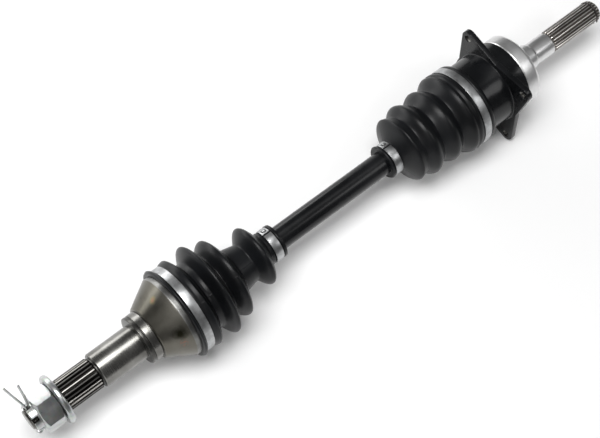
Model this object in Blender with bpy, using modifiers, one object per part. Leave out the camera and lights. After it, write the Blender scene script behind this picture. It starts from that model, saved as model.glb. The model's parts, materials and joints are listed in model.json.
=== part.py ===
"""CV axle: a half shaft with a fixed ball joint at the wheel end and a plunging ball joint inboard.

The axle lies along X with the wheel end at -X and Z up. The origin is halfway along it, on its axis.
Stations are measured along X from the centre of the joint that they belong to, in millimetres.
"""
import math

import bmesh
import bpy
from mathutils import Matrix, Vector

MM = 0.001
GAP = 0.3
OUTER_CENTRE = -174.8
INNER_CENTRE = 194.2

BALL_COUNT = 6
BALL_RADIUS = 7.144
BAR_RADIUS = 11.2
BAR_END_RADIUS = 9.5
OUTER_NECK_END = 30.0
INNER_NECK_END = 64.0
BAR_TAPER = 4.0
CIRCLIP_WIRE = 0.8
CIRCLIP_PROUD = 0.5
CIRCLIP_SETBACK = 1.5
CLAMP_WIDTH = 8.0
CLAMP_THICKNESS = 0.9
BOOT_WALL = 2.4
SMALL_SEAT_RADIUS = 15.2
OUTER_SEAT_RADIUS = 41.3
INNER_SEAT_RADIUS = 39.6

# Outer joint, from its own centre.
OUTER_PITCH_RADIUS = 26.5
OUTER_RACE_RADIUS = 23.4
OUTER_CAGE_INSIDE = 24.2
OUTER_CAGE_OUTSIDE = 28.8
OUTER_BELL_INSIDE = 29.7
OUTER_GROOVE_RADIUS = 9.1
OUTER_GROOVE_REACH = math.radians(37.0)
OUTER_RACE_HALF = 9.0
OUTER_CAGE_HALF = 11.0
BELL_MOUTH = 11.0
BELL_FLOOR = -24.0
BELL_RIM_RADIUS = 39.4
CONE_END = -7.0
COLLAR_INBOARD = -30.9
COLLAR_OUTBOARD = -42.1
COLLAR_RADIUS = 23.1
JOURNAL_RADIUS = 16.6
SPLINE_INBOARD = -85.4
HUB_SPLINE_OUTBOARD = -121.9
HUB_SPLINE_RADIUS = 14.7
HUB_SPLINE_TEETH = 24
THREAD_RADIUS = 10.0
STUB_END = -155.0
WASHER_RADIUS = 23.7
WASHER_THICKNESS = 5.6
WASHER_EDGE = 1.4
NUT_FACE = -128.2
NUT_HEX_END = -146.8
NUT_CROWN_END = -153.4
NUT_ACROSS_FLATS = 36.0
NUT_CROWN_RADIUS = 13.0
NUT_SLOT_WIDTH = 4.8
NUT_CLOCK = math.radians(28.0)
PIN_WIRE = 1.05
PIN_HOLE_RADIUS = 2.7

# Inner joint, from its own centre.
INNER_PITCH_RADIUS = 24.0
INNER_RACE_RADIUS = 21.0
INNER_CAGE_INSIDE = 21.8
INNER_CAGE_OUTSIDE = 26.6
INNER_BORE_RADIUS = 27.5
INNER_GROOVE_RADIUS = 8.0
INNER_RACE_HALF = 10.0
INNER_CAGE_HALF = 11.5
CUP_MOUTH = -41.0
CUP_MOUTH_INSIDE = 32.5
CUP_FLOOR = 31.0
GROOVE_FLOOR = 26.0
CUP_RADIUS = 35.4
CUP_BACK = 37.2
NECK_RADIUS = 12.5
NECK_END = 55.5
STUB_RADIUS = 11.15
STUB_SPLINE_START = 80.0
STUB_SPLINE_TEETH = 22
STUB_GROOVE = 136.0
STUB_TIP = 142.0
STUB_CIRCLIP_WIRE = 0.55
STOP_RING_STATION = -30.3
STOP_RING_WIRE = 0.9
STOP_RING_RADIUS = 28.7
FLANGE_FRONT = -0.3
FLANGE_THICKNESS = 5.5
FLANGE_HUB_RADIUS = 38.5
EAR_CIRCLE_RADIUS = 52.5
EAR_TIP_RADIUS = 7.5
EAR_HOLE_RADIUS = 3.4
EAR_ANGLES = [math.radians(angle) for angle in (45.0, 135.0, 225.0, 315.0)]

# Boots: station and outer radius of each lip, crest and valley.
OUTER_BOOT = [(-3.0, 43.2), (-1.2, 44.3), (1.0, OUTER_SEAT_RADIUS), (9.6, OUTER_SEAT_RADIUS),
              (15.0, 43.6), (24.0, 33.2), (34.9, 44.7), (41.8, 31.1), (52.7, 38.8), (61.8, 21.9),
              (76.4, 18.7), (86.4, 29.3), (95.8, 16.0), (98.8, SMALL_SEAT_RADIUS),
              (108.2, SMALL_SEAT_RADIUS), (109.6, 16.4), (111.4, 16.2)]
INNER_BOOT = [(-132.0, 16.2), (-129.8, SMALL_SEAT_RADIUS), (-119.4, SMALL_SEAT_RADIUS),
              (-109.3, 32.8), (-101.8, 30.4), (-92.8, 36.4), (-81.5, 30.6), (-70.0, 36.8),
              (-60.6, 32.4), (-46.0, 40.7), (-41.8, INNER_SEAT_RADIUS), (-31.2, INNER_SEAT_RADIUS),
              (-30.2, 40.1), (-26.5, 38.5)]
OUTER_BELL_SEAT_END = 12.0
OUTER_BAR_SEAT_START = 98.0
INNER_BAR_SEAT_END = -119.0
INNER_CUP_SEAT_START = -42.0
OUTER_LARGE_CLAMP = 5.2
OUTER_SMALL_CLAMP = 103.7
INNER_SMALL_CLAMP = -124.5
INNER_LARGE_CLAMP = -36.3

STEEL = ("machined_steel", (0.45, 0.45, 0.43, 1.0), 0.35, 1.0)
ZINC = ("zinc_plate", (0.72, 0.73, 0.74, 1.0), 0.3, 1.0)
RUBBER = ("boot_rubber", (0.02, 0.02, 0.022, 1.0), 0.55, 0.0)
BLACK = ("black_paint", (0.015, 0.015, 0.017, 1.0), 0.3, 0.0)
BAND = ("clamp_band", (0.66, 0.67, 0.68, 1.0), 0.35, 1.0)
BEARING = ("bearing_steel", (0.55, 0.55, 0.56, 1.0), 0.2, 1.0)
SPRING = ("spring_steel", (0.12, 0.12, 0.13, 1.0), 0.4, 1.0)


def clear_scene():
    for old in list(bpy.data.objects):
        bpy.data.objects.remove(old, do_unlink=True)


def new_collection(name):
    collection = bpy.data.collections.new(name)
    bpy.context.scene.collection.children.link(collection)
    return collection


def material(look):
    name, colour, roughness, metallic = look
    found = bpy.data.materials.get(name)
    if found:
        return found
    made = bpy.data.materials.new(name)
    made.use_nodes = True
    shader = made.node_tree.nodes["Principled BSDF"]
    shader.inputs["Base Color"].default_value = colour
    shader.inputs["Roughness"].default_value = roughness
    shader.inputs["Metallic"].default_value = metallic
    return made


def empty(name, station):
    made = bpy.data.objects.new(name, None)
    made.location = (station * MM, 0.0, 0.0)
    parts.objects.link(made)
    return made


def finish(made, look, joint):
    """Give a piece its finish and hang it on the empty at its joint's centre."""
    made.data.materials.clear()
    made.data.materials.append(material(look))
    made.data.shade_smooth()
    made.data.set_sharp_from_angle(angle=math.radians(35.0))
    made.parent = joint
    return made


def mesh_object(name, mesh, collection=None):
    made = bpy.data.objects.new(name, mesh)
    (collection or parts).objects.link(made)
    return made


def turned(name, outline, look, joint, segments=24):
    """Turn an outline of (station, radius) about the X axis; it runs from +X to -X on its outside."""
    closed = outline[0][1] > 0.0
    mesh = bpy.data.meshes.new(name)
    points = [(radius * MM, 0.0, station * MM) for station, radius in outline]
    edges = [(index, index + 1) for index in range(len(points) - 1)]
    if closed:
        edges.append((len(points) - 1, 0))
    mesh.from_pydata(points, edges, [])
    made = mesh_object(name, mesh)
    made.rotation_euler = (0.0, math.pi / 2, 0.0)
    screw = made.modifiers.new("turn", "SCREW")
    screw.steps = segments
    screw.render_steps = segments
    screw.use_merge_vertices = True
    screw.merge_threshold = 0.00001
    return finish(made, look, joint)


def arc(radius, start, end, steps):
    """Points of a circle about the joint's centre, between two stations, as (station, radius)."""
    first = math.acos(start / radius)
    last = math.acos(end / radius)
    angles = [first + (last - first) * index / steps for index in range(steps + 1)]
    return [(radius * math.cos(angle), radius * math.sin(angle)) for angle in angles]


def ring(name, station, width, inside, outside, look, joint):
    start = station - width / 2
    end = station + width / 2
    return turned(name, [(end, inside), (end, outside), (start, outside), (start, inside)], look, joint)


def band(name, station, seat, joint):
    """A clamp's band round a boot's seat."""
    inside = seat + GAP
    return ring(name, station, CLAMP_WIDTH, inside, inside + CLAMP_THICKNESS, BAND, joint)


def wire_ring(name, station, radius, wire, look, joint):
    bpy.ops.mesh.primitive_torus_add(major_radius=radius * MM, minor_radius=wire * MM,
                                     major_segments=24, minor_segments=5)
    made = bpy.context.object
    for collection in list(made.users_collection):
        collection.objects.unlink(made)
    parts.objects.link(made)
    made.name = name
    made.rotation_euler = (0.0, math.pi / 2, 0.0)
    made.location = (station * MM, 0.0, 0.0)
    return finish(made, look, joint)


def cutter(name, shape, joint):
    """Turn a bmesh into a hidden cutter on a joint's empty."""
    mesh = bpy.data.meshes.new(name)
    bmesh.ops.recalc_face_normals(shape, faces=shape.faces)
    shape.to_mesh(mesh)
    shape.free()
    made = mesh_object(name, mesh, cutters)
    made.parent = joint
    made.hide_render = True
    made.display_type = "WIRE"
    return made


def cut(target, tool, operation="DIFFERENCE"):
    boolean = target.modifiers.new(tool.name, "BOOLEAN")
    boolean.operation = operation
    boolean.object = tool
    boolean.solver = "EXACT"


def clock(angle):
    """A turn about X that takes +Z towards +Y."""
    return Matrix.Rotation(-angle, 4, "X")


def add_box(shape, size, place):
    scale = Matrix.Diagonal((size[0] * MM, size[1] * MM, size[2] * MM, 1.0))
    bmesh.ops.create_cube(shape, size=1.0, matrix=place @ scale)


def moved(x, y, z):
    return Matrix.Translation((x * MM, y * MM, z * MM))


def ball_angles():
    return [2 * math.pi * index / BALL_COUNT for index in range(BALL_COUNT)]


def straight_grooves(name, pitch, radius, start, end, joint):
    shape = bmesh.new()
    length = (end - start) * MM
    lay_down = Matrix.Rotation(math.pi / 2, 4, "Y")
    for angle in ball_angles():
        place = clock(angle) @ moved((start + end) / 2, 0.0, pitch) @ lay_down
        bmesh.ops.create_cone(shape, cap_ends=True, segments=14, radius1=radius * MM,
                              radius2=radius * MM, depth=length, matrix=place)
    return cutter(name, shape, joint)


def arc_grooves(name, pitch, radius, reach, joint):
    """Six round grooves that run along arcs about the joint's centre."""
    path = bpy.data.curves.new(name + "_path", "CURVE")
    path.dimensions = "3D"
    path.bevel_depth = radius * MM
    path.bevel_resolution = 4
    path.use_fill_caps = True
    steps = 6
    spline = path.splines.new("POLY")
    spline.points.add(steps)
    for index in range(steps + 1):
        angle = reach * (2 * index / steps - 1)
        spline.points[index].co = (pitch * MM * math.sin(angle), 0.0, pitch * MM * math.cos(angle), 1.0)
    rail = bpy.data.objects.new(name + "_path", path)
    cutters.objects.link(rail)
    evaluated = rail.evaluated_get(bpy.context.evaluated_depsgraph_get())
    single = bpy.data.meshes.new_from_object(evaluated)
    bpy.data.objects.remove(rail, do_unlink=True)
    shape = bmesh.new()
    for angle in ball_angles():
        copy = single.copy()
        copy.transform(clock(angle))
        shape.from_mesh(copy)
    bmesh.ops.remove_doubles(shape, verts=shape.verts, dist=0.00001)
    return cutter(name, shape, joint)


def windows(name, joint):
    shape = bmesh.new()
    side = 2 * (BALL_RADIUS + GAP)
    for angle in ball_angles():
        add_box(shape, (side, side, 16.0), clock(angle) @ moved(0.0, 0.0, 25.0))
    return cutter(name, shape, joint)


def spline_gaps(name, teeth, radius, depth, start, end, joint):
    """Wedges between the spline's teeth: triangular prisms, each one its own body."""
    shape = bmesh.new()
    pitch = 2 * math.pi / teeth
    half = radius * math.tan(pitch * 0.32)
    top = radius + depth * 0.35
    sections = [(0.0, radius - depth), (half * 1.35, top), (-half * 1.35, top)]
    for index in range(teeth):
        turn = clock(index * pitch)
        ends = []
        for station in (start, end):
            corners = [turn @ Vector((station * MM, y * MM, z * MM)) for y, z in sections]
            ends.append([shape.verts.new(corner) for corner in corners])
        shape.faces.new(ends[0])
        shape.faces.new(ends[1])
        for side in range(3):
            after = (side + 1) % 3
            shape.faces.new((ends[0][side], ends[0][after], ends[1][after], ends[1][side]))
    return cutter(name, shape, joint)


def bellows(crests, inside_radius, steps=3):
    """A boot's closed outline: half waves between crests and valleys, with its inside behind them."""
    outside = []
    for (start, low), (end, high) in zip(crests, crests[1:]):
        count = steps if abs(high - low) > 4.0 else 1
        for index in range(count):
            part = index / count
            swing = (1 - math.cos(math.pi * part)) / 2
            outside.append((start + (end - start) * part, low + (high - low) * swing))
    outside.append(crests[-1])
    inside = [(station, inside_radius(station, radius)) for station, radius in crests]
    return list(reversed(outside)) + inside


def balls(prefix, pitch, joint):
    for number, angle in enumerate(ball_angles(), start=1):
        mesh = bpy.data.meshes.new(f"{prefix}_ball_{number}")
        shape = bmesh.new()
        bmesh.ops.create_uvsphere(shape, u_segments=12, v_segments=6, radius=BALL_RADIUS * MM)
        shape.to_mesh(mesh)
        shape.free()
        made = mesh_object(f"{prefix}_ball_{number}", mesh)
        made.location = clock(angle) @ Vector((0.0, 0.0, pitch * MM))
        finish(made, BEARING, joint)


def sphere_ring(name, inside, outside, half, look, joint):
    """A ring between two spheres about the joint's centre, or a bored ball where inside is a bore."""
    outline = arc(outside, half, -half, 5)
    if inside > 20.0:
        outline += arc(inside, -half, half, 5)
    else:
        outline += [(-half, inside), (half, inside)]
    return turned(name, outline, look, joint)


def bell(joint):
    shell = [(BELL_FLOOR, 0.0)]
    shell += arc(OUTER_BELL_INSIDE, BELL_FLOOR, BELL_MOUTH - 1.0, 7)
    shell += [(BELL_MOUTH, 29.0), (BELL_MOUTH, BELL_RIM_RADIUS - 0.8),
              (BELL_MOUTH - 0.8, BELL_RIM_RADIUS), (CONE_END, BELL_RIM_RADIUS),
              (COLLAR_INBOARD - 0.4, 25.6), (COLLAR_INBOARD - 0.4, COLLAR_RADIUS - 0.2),
              (-38.2, COLLAR_RADIUS - 0.2), (-38.2, COLLAR_RADIUS - 0.9), (-38.8, COLLAR_RADIUS - 0.9),
              (-38.8, COLLAR_RADIUS), (COLLAR_OUTBOARD, COLLAR_RADIUS), (COLLAR_OUTBOARD, JOURNAL_RADIUS),
              (SPLINE_INBOARD + 2.0, JOURNAL_RADIUS), (SPLINE_INBOARD, HUB_SPLINE_RADIUS),
              (HUB_SPLINE_OUTBOARD + 1.0, HUB_SPLINE_RADIUS), (HUB_SPLINE_OUTBOARD, HUB_SPLINE_RADIUS - 1.0),
              (HUB_SPLINE_OUTBOARD, THREAD_RADIUS), (STUB_END + 1.2, THREAD_RADIUS),
              (STUB_END, THREAD_RADIUS - 1.2), (STUB_END, 0.0)]
    made = turned("outer_joint_housing", shell, STEEL, joint)
    cut(made, outer_grooves)
    cut(made, spline_gaps("hub_spline_gaps", HUB_SPLINE_TEETH, HUB_SPLINE_RADIUS, 1.3,
                          HUB_SPLINE_OUTBOARD - 1.0, SPLINE_INBOARD - 1.6, joint))
    hole = bmesh.new()
    place = clock(NUT_CLOCK) @ moved((NUT_HEX_END + NUT_CROWN_END) / 2, 0.0, 0.0)
    bmesh.ops.create_cone(hole, cap_ends=True, segments=12, radius1=PIN_HOLE_RADIUS * MM,
                          radius2=PIN_HOLE_RADIUS * MM, depth=30.0 * MM, matrix=place)
    cut(made, cutter("pin_hole", hole, joint))


def washer(joint):
    start = NUT_FACE + GAP
    end = start + WASHER_THICKNESS
    shoulder = WASHER_RADIUS - WASHER_EDGE
    turned("hub_washer", [(end, THREAD_RADIUS + GAP), (end, shoulder), (end - WASHER_EDGE, WASHER_RADIUS),
                          (start + WASHER_EDGE, WASHER_RADIUS), (start, shoulder),
                          (start, THREAD_RADIUS + GAP)], ZINC, joint)


def castle_nut(joint):
    shape = bmesh.new()
    lay_down = Matrix.Rotation(math.pi / 2, 4, "Y")
    corner_radius = NUT_ACROSS_FLATS / 2 / math.cos(math.pi / 6)
    place = clock(NUT_CLOCK) @ moved((NUT_FACE + NUT_HEX_END) / 2, 0.0, 0.0) @ lay_down
    bmesh.ops.create_cone(shape, cap_ends=True, segments=6, radius1=corner_radius * MM,
                          radius2=corner_radius * MM, depth=(NUT_FACE - NUT_HEX_END) * MM, matrix=place)
    mesh = bpy.data.meshes.new("castle_nut")
    bmesh.ops.recalc_face_normals(shape, faces=shape.faces)
    shape.to_mesh(mesh)
    shape.free()
    made = finish(mesh_object("castle_nut", mesh), ZINC, joint)
    chamfer = turned("nut_envelope", [(NUT_FACE, 0.0), (NUT_FACE, 17.8), (NUT_FACE - 1.6, 20.9),
                                      (NUT_HEX_END + 1.8, 20.9), (NUT_HEX_END, 17.2),
                                      (NUT_HEX_END, 0.0)], ZINC, joint)
    hide(chamfer)
    cut(made, chamfer, "INTERSECT")
    crown = turned("nut_crown", [(NUT_HEX_END + 3.0, 0.0), (NUT_HEX_END + 3.0, NUT_CROWN_RADIUS),
                                 (NUT_CROWN_END + 0.8, NUT_CROWN_RADIUS),
                                 (NUT_CROWN_END, NUT_CROWN_RADIUS - 0.8),
                                 (NUT_CROWN_END, 0.0)], ZINC, joint)
    hide(crown)
    cut(made, crown, "UNION")
    bore = turned("nut_bore", [(NUT_FACE + 1.0, 0.0), (NUT_FACE + 1.0, THREAD_RADIUS + GAP),
                               (NUT_CROWN_END - 1.0, THREAD_RADIUS + GAP), (NUT_CROWN_END - 1.0, 0.0)],
                  ZINC, joint)
    hide(bore)
    cut(made, bore)
    slots = bmesh.new()
    for index in range(6):
        place = clock(NUT_CLOCK + index * math.pi / 3)
        slot = place @ moved((NUT_HEX_END + NUT_CROWN_END) / 2 - 0.8, 0.0, 12.5)
        add_box(slots, (NUT_HEX_END - NUT_CROWN_END, NUT_SLOT_WIDTH, 6.0), slot)
    cut(made, cutter("nut_slots", slots, joint))


def hide(made):
    """Move a turned tool among the cutters."""
    parts.objects.unlink(made)
    cutters.objects.link(made)
    made.hide_render = True
    made.display_type = "WIRE"


def cotter_pin(joint):
    """One folded wire: two legs through the crown, a round head below, the free ends bent apart."""
    station = (NUT_HEX_END + NUT_CROWN_END) / 2
    half = PIN_WIRE + 0.1
    head = [(station - half, -14.4), (station - 2.1, -16.8), (station - 1.7, -19.2), (station, -20.4),
            (station + 1.7, -19.2), (station + 2.1, -16.8), (station + half, -14.4)]
    long_leg = [(-160.2, 47.7), (-155.8, 31.0), (-152.6, 19.0), (station - half, 13.6)]
    short_leg = [(station + half, 13.6), (-148.6, 19.0), (-148.3, 30.0), (-148.5, 41.2)]
    route = long_leg + head + short_leg
    path = bpy.data.curves.new("cotter_pin", "CURVE")
    path.dimensions = "3D"
    path.bevel_depth = PIN_WIRE * MM
    path.bevel_resolution = 1
    path.use_fill_caps = True
    spline = path.splines.new("POLY")
    spline.points.add(len(route) - 1)
    for point, (x, z) in zip(spline.points, route):
        point.co = (x * MM, 0.0, z * MM, 1.0)
    made = bpy.data.objects.new("cotter_pin", path)
    parts.objects.link(made)
    made.parent = joint
    made.rotation_euler = (-NUT_CLOCK, 0.0, 0.0)
    path.materials.append(material(ZINC))


def bar(joint):
    """The shaft between the joints, measured from the inner joint's centre."""
    far = OUTER_CENTRE - INNER_CENTRE
    clip = INNER_RACE_HALF + CIRCLIP_SETBACK
    far_clip = far - OUTER_RACE_HALF - CIRCLIP_SETBACK
    groove = CIRCLIP_WIRE + GAP
    seat = BAR_END_RADIUS - CIRCLIP_WIRE - 0.1
    outline = [(clip + 2.5, 0.0), (clip + 2.5, BAR_END_RADIUS - 0.8), (clip + 1.7, BAR_END_RADIUS),
               (clip + groove, BAR_END_RADIUS), (clip + groove, seat), (clip - groove, seat),
               (clip - groove, BAR_END_RADIUS), (-INNER_NECK_END, BAR_END_RADIUS),
               (-INNER_NECK_END - BAR_TAPER, BAR_RADIUS), (far + OUTER_NECK_END + BAR_TAPER, BAR_RADIUS),
               (far + OUTER_NECK_END, BAR_END_RADIUS), (far_clip + groove, BAR_END_RADIUS),
               (far_clip + groove, seat), (far_clip - groove, seat), (far_clip - groove, BAR_END_RADIUS),
               (far_clip - 1.7, BAR_END_RADIUS), (far_clip - 2.5, BAR_END_RADIUS - 0.8),
               (far_clip - 2.5, 0.0)]
    turned("axle_bar", outline, BLACK, joint)


def cup(joint):
    """The inner joint's one-piece housing with its splined stub."""
    outline = [(CUP_FLOOR, 0.0), (CUP_FLOOR, INNER_BORE_RADIUS - 2.0),
               (CUP_FLOOR - 2.0, INNER_BORE_RADIUS),
               (STOP_RING_STATION + 1.2, INNER_BORE_RADIUS), (STOP_RING_STATION + 1.2, 30.0),
               (STOP_RING_STATION - 1.2, 30.0), (STOP_RING_STATION - 1.2, INNER_BORE_RADIUS + 0.6),
               (CUP_MOUTH, CUP_MOUTH_INSIDE), (CUP_MOUTH, CUP_RADIUS - 0.8), (CUP_MOUTH + 0.8, CUP_RADIUS)]
    back = [(CUP_BACK - 2.4, CUP_RADIUS), (CUP_BACK - 0.7, CUP_RADIUS - 0.7), (CUP_BACK, CUP_RADIUS - 2.4),
            (CUP_BACK, NECK_RADIUS), (NECK_END, NECK_RADIUS), (NECK_END + 1.4, STUB_RADIUS),
            (STUB_GROOVE - 0.9, STUB_RADIUS), (STUB_GROOVE - 0.9, STUB_RADIUS - 1.5),
            (STUB_GROOVE + 0.9, STUB_RADIUS - 1.5), (STUB_GROOVE + 0.9, STUB_RADIUS),
            (STUB_TIP - 3.0, STUB_RADIUS), (STUB_TIP, STUB_RADIUS - 2.4), (STUB_TIP, 0.0)]
    made = turned("inner_joint_housing", list(reversed(outline + back)), BLACK, joint)
    cut(made, inner_grooves)
    cut(made, spline_gaps("stub_spline_gaps", STUB_SPLINE_TEETH, STUB_RADIUS, 1.1,
                          STUB_SPLINE_START, STUB_TIP + 1.0, joint))


def flange_outline():
    """Four eared outline: each ear's round tip, with straight edges that meet between the ears."""
    lean = math.acos((FLANGE_HUB_RADIUS - EAR_TIP_RADIUS) / EAR_CIRCLE_RADIUS)
    middle = FLANGE_HUB_RADIUS / math.cos(lean - math.pi / 4)
    points = []
    for ear in EAR_ANGLES:
        centre = Vector((math.sin(ear), math.cos(ear))) * EAR_CIRCLE_RADIUS
        for step in range(7):
            angle = ear + lean * (step / 3 - 1)
            points.append(centre + Vector((math.sin(angle), math.cos(angle))) * EAR_TIP_RADIUS)
        between = ear + math.pi / 4
        points.append(Vector((math.sin(between), math.cos(between))) * middle)
    return points


def flange(joint):
    """The disc flange: a flat plate with four ears, welded round the inner joint's housing."""
    outline = bpy.data.curves.new("disc_flange", "CURVE")
    outline.dimensions = "2D"
    outline.fill_mode = "BOTH"
    outline.extrude = FLANGE_THICKNESS / 2 * MM
    points = flange_outline()
    spline = outline.splines.new("POLY")
    spline.points.add(len(points) - 1)
    for point, (y, z) in zip(spline.points, points):
        point.co = (-z * MM, y * MM, 0.0, 1.0)
    spline.use_cyclic_u = True
    flat = bpy.data.objects.new("disc_flange_outline", outline)
    cutters.objects.link(flat)
    evaluated = flat.evaluated_get(bpy.context.evaluated_depsgraph_get())
    mesh = bpy.data.meshes.new_from_object(evaluated)
    bpy.data.objects.remove(flat, do_unlink=True)
    shape = bmesh.new()
    shape.from_mesh(mesh)
    bmesh.ops.remove_doubles(shape, verts=shape.verts, dist=0.00001)
    bmesh.ops.recalc_face_normals(shape, faces=shape.faces)
    shape.to_mesh(mesh)
    shape.free()
    made = mesh_object("disc_flange", mesh)
    made.rotation_euler = (0.0, math.pi / 2, 0.0)
    made.location = ((FLANGE_FRONT + FLANGE_THICKNESS / 2) * MM, 0.0, 0.0)
    finish(made, BLACK, joint)
    holes = bmesh.new()
    lay_down = Matrix.Rotation(math.pi / 2, 4, "Y")
    bmesh.ops.create_cone(holes, cap_ends=True, segments=24, radius1=(CUP_RADIUS + GAP) * MM,
                          radius2=(CUP_RADIUS + GAP) * MM, depth=20.0 * MM, matrix=lay_down)
    for ear in EAR_ANGLES:
        place = clock(ear) @ moved(0.0, 0.0, EAR_CIRCLE_RADIUS) @ lay_down
        bmesh.ops.create_cone(holes, cap_ends=True, segments=12, radius1=EAR_HOLE_RADIUS * MM,
                              radius2=EAR_HOLE_RADIUS * MM, depth=20.0 * MM, matrix=place)
    cut(made, cutter("flange_holes", holes, joint))


def outer_boot_inside(station, radius):
    if station < OUTER_BELL_SEAT_END:
        return BELL_RIM_RADIUS + GAP
    if station > OUTER_BAR_SEAT_START:
        return BAR_RADIUS + GAP
    return radius - BOOT_WALL


def inner_boot_inside(station, radius):
    if station < INNER_BAR_SEAT_END:
        return BAR_RADIUS + GAP
    if station > INNER_CUP_SEAT_START:
        return CUP_RADIUS + GAP
    return radius - BOOT_WALL


clear_scene()
parts = new_collection("cv_axle")
cutters = new_collection("cutters")
outer_joint = empty("outer_joint_centre", OUTER_CENTRE)
inner_joint = empty("inner_joint_centre", INNER_CENTRE)

outer_grooves = arc_grooves("outer_grooves", OUTER_PITCH_RADIUS, OUTER_GROOVE_RADIUS,
                            OUTER_GROOVE_REACH, outer_joint)
inner_grooves = straight_grooves("inner_grooves", INNER_PITCH_RADIUS, INNER_GROOVE_RADIUS,
                                 CUP_MOUTH - 4.0, GROOVE_FLOOR, inner_joint)

bell(outer_joint)
balls("outer", OUTER_PITCH_RADIUS, outer_joint)
outer_race = sphere_ring("outer_joint_race", BAR_END_RADIUS + GAP, OUTER_RACE_RADIUS, OUTER_RACE_HALF,
                         BEARING, outer_joint)
cut(outer_race, outer_grooves)
outer_cage = sphere_ring("outer_cage", OUTER_CAGE_INSIDE, OUTER_CAGE_OUTSIDE, OUTER_CAGE_HALF,
                         BEARING, outer_joint)
cut(outer_cage, windows("outer_windows", outer_joint))
wire_ring("outer_race_circlip", -OUTER_RACE_HALF - CIRCLIP_SETBACK, BAR_END_RADIUS + CIRCLIP_PROUD,
          CIRCLIP_WIRE, SPRING, outer_joint)
washer(outer_joint)
castle_nut(outer_joint)
cotter_pin(outer_joint)
turned("outer_boot", bellows(OUTER_BOOT, outer_boot_inside), RUBBER, outer_joint)
band("outer_boot_large_clamp", OUTER_LARGE_CLAMP, OUTER_SEAT_RADIUS, outer_joint)
band("outer_boot_small_clamp", OUTER_SMALL_CLAMP, SMALL_SEAT_RADIUS, outer_joint)

cup(inner_joint)
flange(inner_joint)
balls("inner", INNER_PITCH_RADIUS, inner_joint)
inner_race = sphere_ring("inner_joint_race", BAR_END_RADIUS + GAP, INNER_RACE_RADIUS, INNER_RACE_HALF,
                         BEARING, inner_joint)
cut(inner_race, inner_grooves)
inner_cage = sphere_ring("inner_cage", INNER_CAGE_INSIDE, INNER_CAGE_OUTSIDE, INNER_CAGE_HALF,
                         BEARING, inner_joint)
cut(inner_cage, windows("inner_windows", inner_joint))
bar(inner_joint)
wire_ring("inner_race_circlip", INNER_RACE_HALF + CIRCLIP_SETBACK, BAR_END_RADIUS + CIRCLIP_PROUD,
          CIRCLIP_WIRE, SPRING, inner_joint)
wire_ring("cup_stop_ring", STOP_RING_STATION, STOP_RING_RADIUS, STOP_RING_WIRE, SPRING, inner_joint)
wire_ring("stub_circlip", STUB_GROOVE, STUB_RADIUS - 0.2, STUB_CIRCLIP_WIRE, SPRING, inner_joint)
turned("inner_boot", bellows(INNER_BOOT, inner_boot_inside), RUBBER, inner_joint)
band("inner_boot_small_clamp", INNER_SMALL_CLAMP, SMALL_SEAT_RADIUS, inner_joint)
band("inner_boot_large_clamp", INNER_LARGE_CLAMP, INNER_SEAT_RADIUS, inner_joint)
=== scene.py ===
"""Looks of the CV axle: smooth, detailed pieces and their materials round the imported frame.

Turned pieces are given as outlines of (station, radius) in millimetres. A station is measured along X from
the centre of the joint that the piece belongs to, and that centre comes from the frame. An angle round the
axle is measured from +Z towards +Y.
"""
import json
import math

import bmesh
import bpy
from mathutils import Matrix, Vector

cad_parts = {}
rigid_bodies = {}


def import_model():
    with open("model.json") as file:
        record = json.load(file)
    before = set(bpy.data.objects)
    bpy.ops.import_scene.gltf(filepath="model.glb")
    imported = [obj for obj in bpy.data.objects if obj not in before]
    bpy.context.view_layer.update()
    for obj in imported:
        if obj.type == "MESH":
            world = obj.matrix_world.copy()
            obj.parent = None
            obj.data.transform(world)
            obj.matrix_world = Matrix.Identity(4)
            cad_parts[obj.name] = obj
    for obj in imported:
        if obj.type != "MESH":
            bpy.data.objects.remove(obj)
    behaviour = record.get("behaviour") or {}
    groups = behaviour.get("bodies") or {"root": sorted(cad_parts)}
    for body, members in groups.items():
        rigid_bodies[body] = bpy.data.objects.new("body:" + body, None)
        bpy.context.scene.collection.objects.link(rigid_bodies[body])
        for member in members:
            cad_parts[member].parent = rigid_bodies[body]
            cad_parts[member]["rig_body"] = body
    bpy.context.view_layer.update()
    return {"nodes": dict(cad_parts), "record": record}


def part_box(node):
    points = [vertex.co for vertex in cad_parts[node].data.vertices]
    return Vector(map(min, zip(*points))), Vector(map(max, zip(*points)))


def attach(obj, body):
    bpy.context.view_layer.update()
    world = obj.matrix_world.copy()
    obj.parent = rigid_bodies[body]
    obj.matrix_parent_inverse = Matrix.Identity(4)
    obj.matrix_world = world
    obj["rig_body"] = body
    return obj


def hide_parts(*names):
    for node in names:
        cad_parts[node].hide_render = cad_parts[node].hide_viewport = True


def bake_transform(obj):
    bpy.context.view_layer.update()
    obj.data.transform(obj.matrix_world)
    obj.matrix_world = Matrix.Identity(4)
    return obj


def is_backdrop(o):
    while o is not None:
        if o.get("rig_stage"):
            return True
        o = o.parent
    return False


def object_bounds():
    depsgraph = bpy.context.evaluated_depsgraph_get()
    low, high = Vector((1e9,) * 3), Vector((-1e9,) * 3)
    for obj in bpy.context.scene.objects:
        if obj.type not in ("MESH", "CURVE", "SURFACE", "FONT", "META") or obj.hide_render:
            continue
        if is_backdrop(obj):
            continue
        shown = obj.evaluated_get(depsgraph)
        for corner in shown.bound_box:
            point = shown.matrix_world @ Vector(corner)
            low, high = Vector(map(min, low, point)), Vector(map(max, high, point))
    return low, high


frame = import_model()

MM = 0.001
JOINT_PLACE = {joint["name"]: joint.get("pos_m") for joint in frame["record"]["behaviour"]["joints"]}
OUTER = JOINT_PLACE["outer_yaw_shaft_side"][0] / MM
INNER = JOINT_PLACE["inner_yaw_cup_side"][0] / MM

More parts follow.
